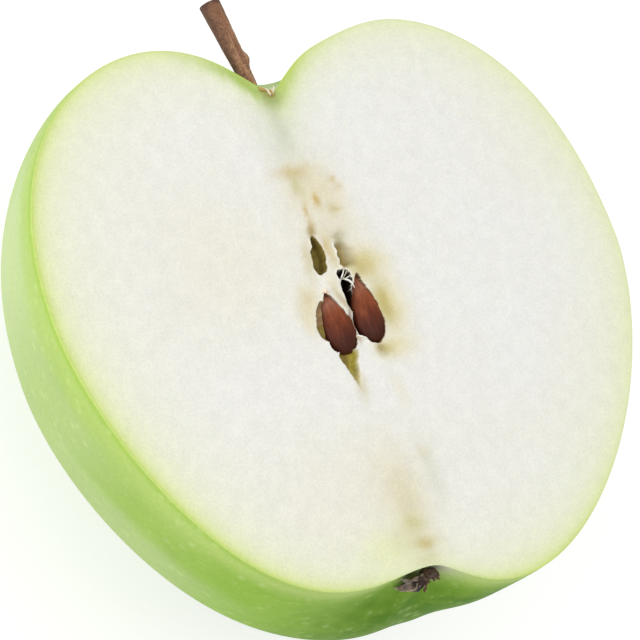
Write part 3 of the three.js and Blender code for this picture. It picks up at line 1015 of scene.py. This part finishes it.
def stem_paint(place, along, turn, relief):
    """Reddish brown with lighter streaks, a painted highlight on the side the light falls on, painted shade
    to the left, darker in its grooves and at the cut end.
    """
    streak = 0.5 + 0.5 * rough(place, (0.4, 0.4, 3.0), 71)
    # Painted highlight on the lit side and painted shade on the far side.
    lit = bell(wrapped(turn - STEM_FACING + 25), 45) * (1 - 0.9 * smooth(along, 0.6, 0.9))
    shaded = bell(wrapped(turn - STEM_FACING - 75), 38)
    collar = smooth(along + 0.03 * noise(place, 0.6, 74), 0.955, 1.0)
    bud_tip = bell(along - BUD.along - 0.035, 0.03) * bell(wrapped(turn - BUD.turn), 26)
    return layered(
        BARK,
        (BARK_TAN, 0.2 * streak + 0.8 * lit * smooth(streak, 0.3, 0.8)),
        (BARK_DARK, 0.6 * smooth(-relief, 0, 0.06)),
        (BARK_DARK, 0.7 * shaded),
        (BARK_DARK, 0.25 * smooth(along, 0.72, 0.95)),
        (BARK_DARK, 0.75 * collar),
        (BARK_GREY, 0.9 * bud_tip),
    )


def make_stem():
    along = np.linspace(0, 1, STEM_RINGS)[:, None]
    turn = np.linspace(0, 360, STEM_TURNS, endpoint=False)[None, :]
    cos, sin = cos_sin(turn)
    radius = stem_radius(along, turn)
    place = stacked(radius * cos, radius * sin, along * STEM_LENGTH)
    relief = bark_relief(place, along)
    radius = radius + relief
    rings = stem_surface(along, radius, cos, sin)
    paint = stem_paint(place, along, turn, relief)
    shrink = np.linspace(1, 0, STEM_CUT_RINGS + 1)[1:-1, None]
    flat = stacked(radius[-1] * cos * shrink, radius[-1] * sin * shrink, 0)
    dish = (0.12 * noise(flat, 0.5, 77) - 0.25 * (1 - shrink**2)) / STEM_LENGTH
    cut = stem_surface(1 + dish, radius[-1] * shrink, cos, sin)
    cut_paint = blend(CUT_DARK, BARK_TAN, 0.3 + 0.3 * noise(flat, 0.3, 78))
    body = loft(np.concatenate([rings, cut]), np.concatenate([paint, cut_paint]))
    piece("stem_bark", body, dry_material("bark", 0.62), ["stem"])


def stem_surface(along, radius, cos, sin):
    """Points of the stem at "along" its length (0 to 1) and a radius round it."""
    sideways, upward = stem_axes()
    bow = STEM_BOW * np.sin(np.pi * np.clip(along, 0, 1))
    across = (radius * cos + bow)[..., None] * sideways + (radius * sin)[..., None] * upward
    return STEM_FOOT + along[..., None] * (STEM_END - STEM_FOOT) + across


def dry_material(name, roughness):
    """Dry plant tissue: bark or sepal."""
    dry = Finish(name, Roughness=roughness, IOR=1.45, Specular_IOR_Level=0.4)
    fine = dry.grain(0.22, 4)
    dry.show_paint(dry.spread(fine, 0.3, 0.7, 0.72, 1.3))
    dry.relief((fine, 0.05), (dry.grain(0.08, 2), 0.012))
    return dry.material


# ---------------- dry calyx

Sepal = namedtuple("Sepal", "turn length curl width paleness")
SEPALS = [
    Sepal(20, 0.8, 0.1, 1.5, 0.8),
    Sepal(68, 1.4, 0.2, 1.5, 0.5),
    Sepal(108, 2.4, 0.3, 1.5, 0.1),
    Sepal(148, 3.6, 0.3, 1.5, 0.2),
    Sepal(182, 3.1, 0.1, 1.5, 0.3),
]
SEPAL_RINGS = 50
SEPAL_TURNS = 40
SEPAL_TAPER = (0.35, 0.8)
SEPAL_THICKNESS = 0.22
SEPAL_RISE = 0.5
SEPAL_ARCH = 0.3
TUBE_RADIUS = 1.15
TUBE_HEIGHT = 0.75
TUBE_RINGS = 14
TUBE_TURNS = 48
FILAMENTS = 16
FILAMENT_POINTS = 9
THREAD_TURNS = 8

SEPAL_BROWN = colour(104, 78, 60)
SEPAL_DARK = colour(36, 24, 20)
SEPAL_PALE = colour(206, 190, 172)


def sepal_body(sepal, seed):
    """A thin pointed tongue, crumpled as it dried."""
    along = gathered(SEPAL_RINGS)
    turn = around(SEPAL_TURNS)
    swell = taper_at(along, *SEPAL_TAPER)
    aside = np.cos(turn) * swell * sepal.width / 2
    out = TUBE_RADIUS / 2 + sepal.length * along
    flat = stacked(out, aside, seed)
    crumple = 0.25 * rough(flat, 0.9, seed) * smooth(along, 0, 0.3)
    arch = SEPAL_ARCH * np.sin(np.pi * along) - sepal.curl * along**2
    curl_in = 0.3 * (aside / (sepal.width / 2)) ** 2
    lift = SEPAL_RISE + arch + curl_in + crumple + np.sin(turn) * swell * SEPAL_THICKNESS / 2
    wriggle = 0.3 * noise(flat, 1.5, seed + 3) * along
    cos, sin = cos_sin(sepal.turn)
    sideways = aside + wriggle
    points = over_basin(out * cos - sideways * sin, out * sin + sideways * cos, lift)
    return loft(points, sepal_paint(sepal, flat, along, turn, seed))


def sepal_paint(sepal, flat, along, turn, seed):
    """Brown with dark patches, paler at the edges and the tip."""
    tone = 0.5 + 0.5 * rough(flat, 0.7, seed + 6)
    edge = smooth(np.abs(np.cos(turn)), 0.7, 1.0)
    worn = np.maximum(edge, smooth(along, 0.8, 1.0)) * (1 - tone)
    pale_patches = smooth(noise(flat, 0.6, seed + 9), -0.3, 0.4)
    return layered(
        SEPAL_BROWN,
        (SEPAL_DARK, smooth(tone, 0.25, 0.6)),
        (SEPAL_PALE, 0.8 * worn),
        (SEPAL_PALE, sepal.paleness * pale_patches),
    )


def thread(path, radii, tone):
    """A thin round strand through a path of points."""
    ahead = np.gradient(path, axis=0)
    ahead /= np.linalg.norm(ahead, axis=1, keepdims=True)
    side = np.cross(ahead, [0.31, 0.17, 0.93])
    side /= np.linalg.norm(side, axis=1, keepdims=True)
    other = np.cross(ahead, side)
    turn = around(THREAD_TURNS)[..., None]
    ring = np.cos(turn) * side[:, None] + np.sin(turn) * other[:, None]
    rings = path[:, None] + ring * radii[:, None, None]
    return loft(rings, np.broadcast_to(tone, rings.shape))


def tube_body():
    """The short ring of tissue that the sepals stand on."""
    along = np.linspace(0, 1, TUBE_RINGS)[:, None]
    turn = around(TUBE_TURNS)
    radius = (0.9 + 0.35 * along) * (1 + 0.08 * np.cos(5 * turn))
    flat = stacked(radius * np.cos(turn), radius * np.sin(turn), along)
    radius = radius + 0.1 * rough(flat, 0.5, 83)
    points = over_basin(radius * np.cos(turn), radius * np.sin(turn), 0.25 + TUBE_HEIGHT * along)
    shade = 0.65 + 0.5 * noise(flat, 0.4, 86)
    return loft(points, blend(SEPAL_BROWN, SEPAL_DARK, shade))


def filament(draw):
    """A dried stamen that stands up from the tube and bends over."""
    turn = draw.uniform(0, 2 * np.pi)
    lean = draw.uniform(0.2, 0.9)
    height = draw.uniform(0.3, 0.8)
    along = np.linspace(0, 1, FILAMENT_POINTS)
    out = 0.5 + lean * along**1.5
    path = over_basin(out * np.cos(turn), out * np.sin(turn), 0.8 + height * along)
    radii = 0.07 + 0.07 * smooth(along, 0.8, 1.0)
    return thread(path, radii, SEPAL_BROWN)


def make_calyx():
    draw = np.random.default_rng(91)
    bodies = [tube_body()]
    bodies += [sepal_body(sepal, 101 + 7 * i) for i, sepal in enumerate(SEPALS)]
    bodies += [filament(draw) for _ in range(FILAMENTS)]
    piece("calyx_sepals", join(bodies), dry_material("sepal", 0.75), ["calyx"], crease=80)


# ---------------- camera, light and floor

VIEW_TILT = 35  # of the line of sight from straight down
VIEW_BEARING = 205.9
VIEW_ROLL = -18.9
VIEW_DISTANCE = 313.97
VIEW_AIM = np.array([-3.98, -4.74, 0])
SENSOR_WIDTH = 36
LENS = 150.17

FLOOR_SIZE = 4  # metres
FLOOR_GREY = 0.5
FLOOR_GLOW = 0.62  # light of its own, which keeps it pale in the half's shadow
SURROUNDINGS = 0.6  # brightness of the white all round

# A square area light: its distance and size in millimetres, and what it adds to the brightness
# of a white surface that faces it.
Lamp = namedtuple("Lamp", "distance size share")
KEY = Lamp(600, 500, 0.45)
TOP = Lamp(700, 600, 0.3)


def view_axes():
    """The camera's right, up and backward directions."""
    upward, outward = cos_sin(VIEW_TILT)
    right, ahead = cos_sin(VIEW_BEARING)
    back = np.array([outward * right, outward * ahead, upward])
    level_up = np.array([0.0, 1.0, 0.0])
    level_up -= back * (level_up @ back)
    level_up /= np.linalg.norm(level_up)
    level_right = np.cross(level_up, back)
    cos, sin = cos_sin(VIEW_ROLL)
    return cos * level_right + sin * level_up, cos * level_up - sin * level_right, back


def pose(place, right, up, back):
    """A matrix that stands at a place in the fruit frame and looks along -back."""
    rows = np.eye(4)
    rows[:3, 0], rows[:3, 1], rows[:3, 2] = right, up, back
    rows[:3, 3] = to_row(place)
    return Matrix(rows.tolist())


def make_camera():
    right, up, back = view_axes()
    data = bpy.data.cameras.new("camera")
    data.sensor_width = SENSOR_WIDTH
    data.lens = LENS
    data.clip_start = 0.01
    camera = add_object("camera", data)
    camera.matrix_world = pose(VIEW_AIM + VIEW_DISTANCE * back, right, up, back)
    bpy.context.scene.camera = camera


def soft_light(name, toward, lamp):
    """An area light in the direction "toward" from the half, facing it."""
    toward = np.asarray(toward, float) / np.linalg.norm(toward)
    side = np.cross([0.02, 0.05, 1.0], toward)
    side /= np.linalg.norm(side)
    data = bpy.data.lights.new(name, "AREA")
    data.size = lamp.size / PER_METRE
    data.energy = lamp.share * (math.pi * lamp.distance / PER_METRE) ** 2
    light = add_object(name, data)
    light.matrix_world = pose(toward * lamp.distance, side, np.cross(toward, side), toward)


def make_floor():
    """A plain pale floor under the half."""
    half = FLOOR_SIZE / 2
    corners = [(-half, -half, 0), (half, -half, 0), (half, half, 0), (-half, half, 0)]
    mesh = bpy.data.meshes.new("floor")
    mesh.from_pydata(corners, [], [(0, 1, 2, 3)])
    floor = add_object("floor", mesh)
    pale = Finish("floor", Roughness=0.9)
    pale.set("Base Color", (FLOOR_GREY,) * 3)
    pale.set("Emission Color", (1, 1, 1))
    pale.set("Emission Strength", FLOOR_GLOW)
    mesh.materials.append(pale.material)


def make_light():
    """Even white surroundings, a soft key from the camera's upper left and a broad top light."""
    right, up, back = view_axes()
    world = bpy.data.worlds.new("surroundings")
    world.use_nodes = True
    background = world.node_tree.nodes["Background"].inputs
    background["Color"].default_value = (1, 1, 1, 1)
    background["Strength"].default_value = SURROUNDINGS
    bpy.context.scene.world = world
    soft_light("key", -right + 0.3 * up + 1.1 * back, KEY)
    soft_light("top", (0, 0, 1), TOP)


def main():
    rows = skin_rows()
    inner = under_peel(rows)
    make_peel(rows, inner)
    make_flesh(inner)
    make_strands()
    make_pips()
    make_stem()
    make_calyx()
    make_camera()
    make_floor()
    make_light()
    bpy.context.scene.view_settings.view_transform = "Standard"


main()
